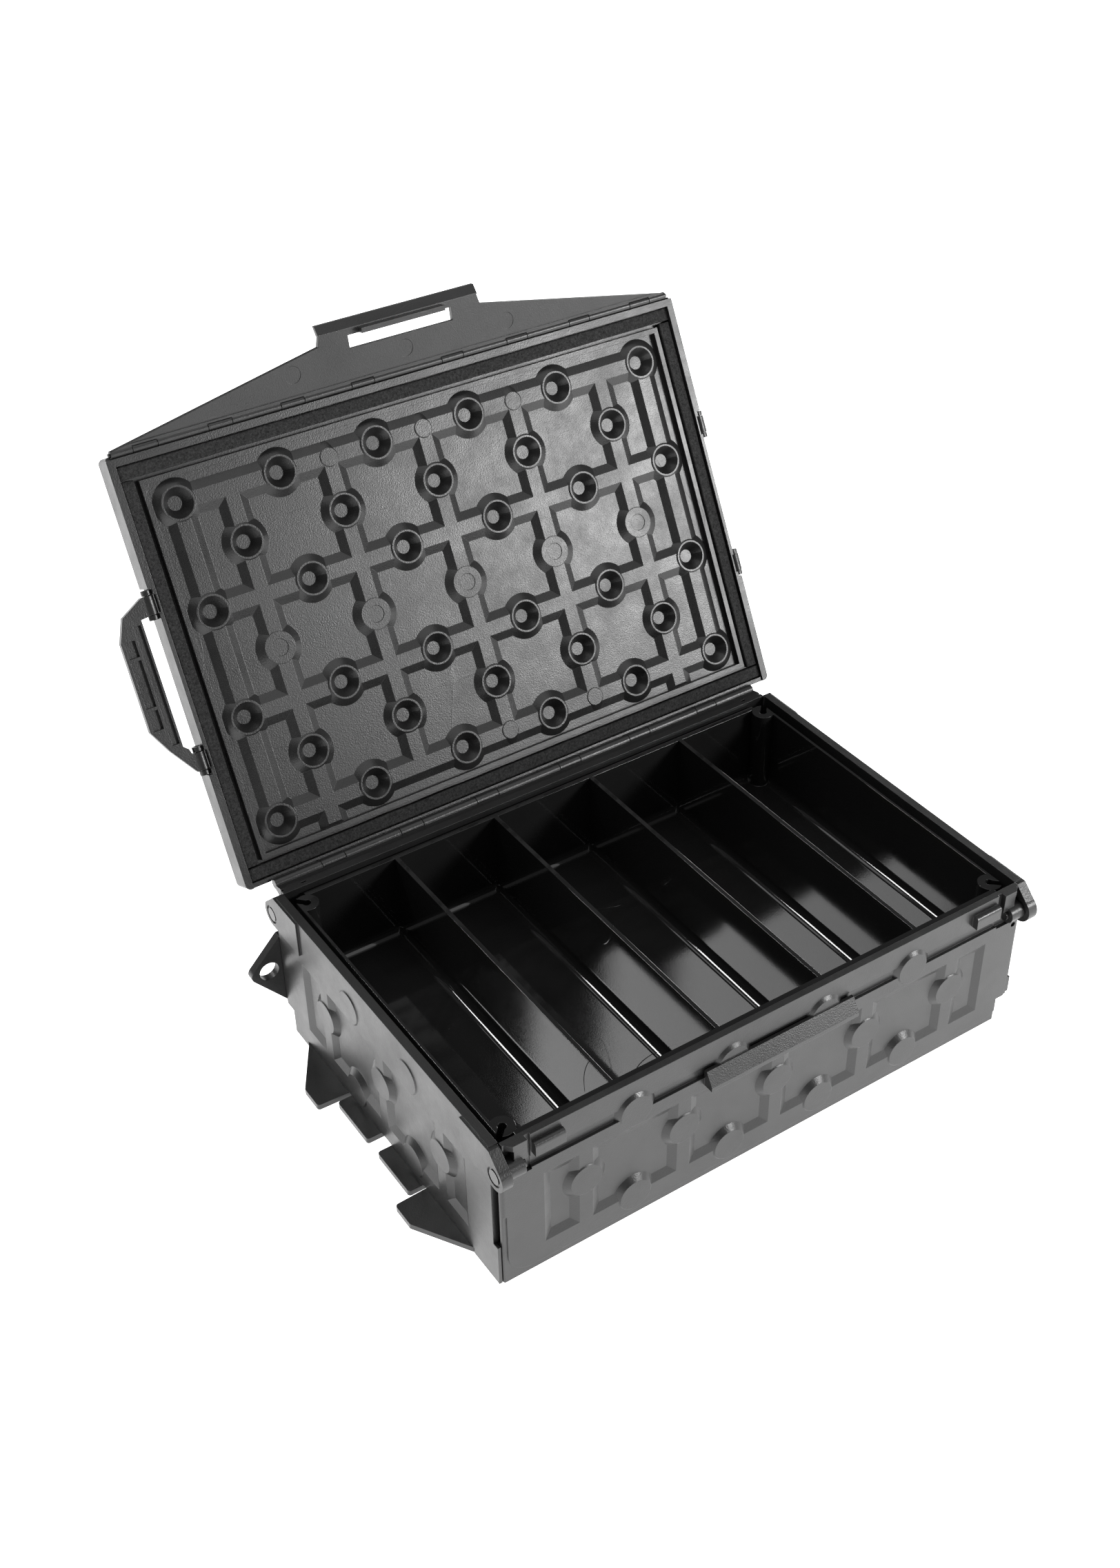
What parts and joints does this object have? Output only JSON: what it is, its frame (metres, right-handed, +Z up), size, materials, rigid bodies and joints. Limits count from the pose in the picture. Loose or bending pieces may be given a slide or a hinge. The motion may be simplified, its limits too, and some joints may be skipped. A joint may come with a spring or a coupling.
{
  "type": "miniature carry case",
  "caption": "Low rectangular hard case with ribbed panels, a hinged gasketed lid held open, flap latch, side stacking latches and a lift-out divided tray.",
  "frame": {"origin": "on the floor, under the middle of the case body", "axes": "+X to the right along the case, -Y towards the front wall and latch, +Z up"},
  "size_m": [0.3282, 0.3075, 0.288],
  "materials": {
    "black_shell": "satin moulded, fine texture",
    "black_tray": "semi-gloss moulded",
    "foam_seal": "open-cell foam, matte",
    "pin": "smooth moulded"
  },
  "bodies": {
    "case": {"base_panel": "black_shell", "front_wall": "black_shell", "back_wall": "black_shell", "left_wall": "black_shell", "right_wall": "black_shell", "front_left_pin": "pin", "front_right_pin": "pin", "rear_left_pin": "pin", "rear_right_pin": "pin", "left_hinge_pin": "pin", "right_hinge_pin": "pin"},
    "lid": {"lid_panel": "black_shell", "rear_seal": "foam_seal", "front_seal": "foam_seal", "left_seal": "foam_seal", "right_seal": "foam_seal", "left_latch_pin": "pin", "right_latch_pin": "pin", "left_side_pins": "pin", "right_side_pins": "pin"},
    "front_latch": {"front_latch": "black_shell"},
    "left_side_latch": {"left_side_latch": "black_shell"},
    "right_side_latch": {"right_side_latch": "black_shell"},
    "tray": {"tray": "black_tray"}
  },
  "joints": [
    {"name": "lid_hinge", "type": "hinge", "parent": "case", "child": "lid", "pos_m": [0, 0.10105, 0.0787], "axis": [-1, 0, 0], "range_deg": [-117.36, 0]},
    {"name": "front_latch_hinge", "type": "hinge", "parent": "lid", "child": "front_latch", "pos_m": [0, 0.19669, 0.25851], "axis": [-1, 0, 0], "range_deg": [-74, 86]},
    {"name": "left_latch_hinge", "type": "hinge", "parent": "lid", "child": "left_side_latch", "pos_m": [-0.1513, 0.15131, 0.16647], "axis": [0, -0.4596, -0.8881], "range_deg": [-90, 90]},
    {"name": "right_latch_hinge", "type": "hinge", "parent": "lid", "child": "right_side_latch", "pos_m": [0.1513, 0.15131, 0.16647], "axis": [0, 0.4596, 0.8881], "range_deg": [-180, 0]},
    {"name": "tray_lift", "type": "slide", "parent": "case", "child": "tray", "axis": [0, 0, 1], "range_m": [0, 0.08]}
  ]
}
